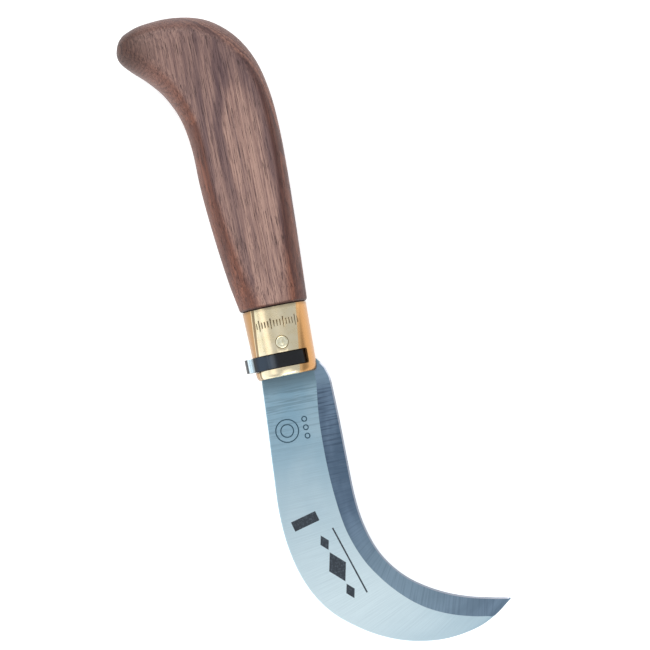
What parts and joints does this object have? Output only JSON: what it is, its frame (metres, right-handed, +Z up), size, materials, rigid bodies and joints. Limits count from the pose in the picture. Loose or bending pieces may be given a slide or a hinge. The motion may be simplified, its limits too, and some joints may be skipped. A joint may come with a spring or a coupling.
{
  "type": "folding hook-bladed knife",
  "caption": "Folding knife with a hooked steel blade, a curved walnut handle, and a brass ferrule whose turning ring locks the blade open.",
  "frame": {"origin": "centre of the base of the whole open knife's bounding box; the rivet's axis is at x 0.0031, y -0.0110 and the blade's middle plane at z 0.0110", "axes": "+X along the ferrule's axis from the handle towards the blade, +Y towards the cutting-edge side, +Z up, square to the blade's flat"},
  "size_m": [0.2092, 0.0888, 0.022],
  "materials": {
    "walnut": "oiled, satin",
    "brass": "polished, lightly brushed",
    "black_steel": "blackened, glossy",
    "blade_steel": "satin ground across the blade"
  },
  "bodies": {
    "handle_body": {"handle": "walnut", "ferrule": "brass", "pivot_rivet": "brass"},
    "blade_body": {"blade": "blade_steel"},
    "ring_body": {"lock_ring": "black_steel"}
  },
  "joints": [
    {"name": "blade_fold", "type": "hinge", "parent": "handle_body", "child": "blade_body", "pos_m": [0.00311, -0.011, 0.011], "axis": [0, 0, 1], "range_deg": [0, 164]},
    {"name": "ring_turn", "type": "hinge", "parent": "handle_body", "child": "ring_body", "pos_m": [0.00858, -0.011, 0.011], "axis": [1, 0, 0], "range_deg": [-84, 0]}
  ]
}
